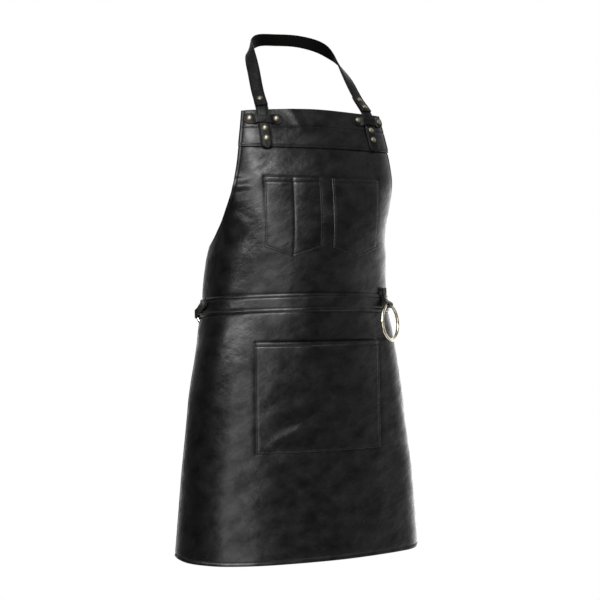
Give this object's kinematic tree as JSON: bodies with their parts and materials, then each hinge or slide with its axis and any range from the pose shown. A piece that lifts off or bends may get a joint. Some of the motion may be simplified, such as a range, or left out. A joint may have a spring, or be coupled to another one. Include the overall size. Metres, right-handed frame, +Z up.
{
  "type": "leather bib apron",
  "caption": "Black leather bib apron kept in its worn shape: riveted neck strap, top band, chest pockets, waistband, flared skirt with a wide patch pocket, and brass rings in folded tabs.",
  "frame": {"origin": "middle of the neck strap's inner face, where it rests on the nape", "axes": "+X to the wearer's left, +Y to the wearer's back, +Z up; the apron's front faces -Y"},
  "size_m": [0.487, 0.2588, 1.0206],
  "materials": {
    "leather": "black, semi-gloss, soft fine grain",
    "strap_leather": "black, semi-gloss, smoother than the panels",
    "ring_brass": "polished pale brass",
    "rivet_brass": "dull antique brass"
  },
  "bodies": {
    "apron": {"bib_panel": "leather", "skirt_panel": "leather", "top_band": "leather", "waistband": "leather", "chest_pocket": "leather", "pen_pocket": "leather", "skirt_pocket": "leather", "neck_strap": "strap_leather", "strap_tab_left": "strap_leather", "strap_tab_right": "strap_leather", "strap_keeper_left": "strap_leather", "strap_keeper_right": "strap_leather", "ring_tab_left": "strap_leather", "ring_tab_right": "strap_leather", "keeper_rivet_left_1": "rivet_brass", "keeper_rivet_left_2": "rivet_brass", "keeper_rivet_right_1": "rivet_brass", "keeper_rivet_right_2": "rivet_brass", "tab_rivet_left_1": "rivet_brass", "tab_rivet_left_2": "rivet_brass", "tab_rivet_right_1": "rivet_brass", "tab_rivet_right_2": "rivet_brass", "strap_rivet_left_1": "rivet_brass", "strap_rivet_left_2": "rivet_brass", "strap_rivet_right_1": "rivet_brass", "ring_rivet_left": "rivet_brass", "ring_rivet_right": "rivet_brass"},
    "ring_left": {"ring_left": "ring_brass"},
    "ring_right": {"ring_right": "ring_brass"}
  },
  "joints": [
    {"name": "ring_left_swing", "type": "hinge", "parent": "apron", "child": "ring_left", "pos_m": [0.15049, -0.20652, -0.53382], "axis": [-0.8047, -0.5936, -0.0093], "range_deg": [-8, 120]},
    {"name": "ring_right_swing", "type": "hinge", "parent": "apron", "child": "ring_right", "pos_m": [-0.1818, -0.04905, -0.55132], "axis": [0.0996, 0.3362, 0.9365], "range_deg": [-30, 140]}
  ]
}
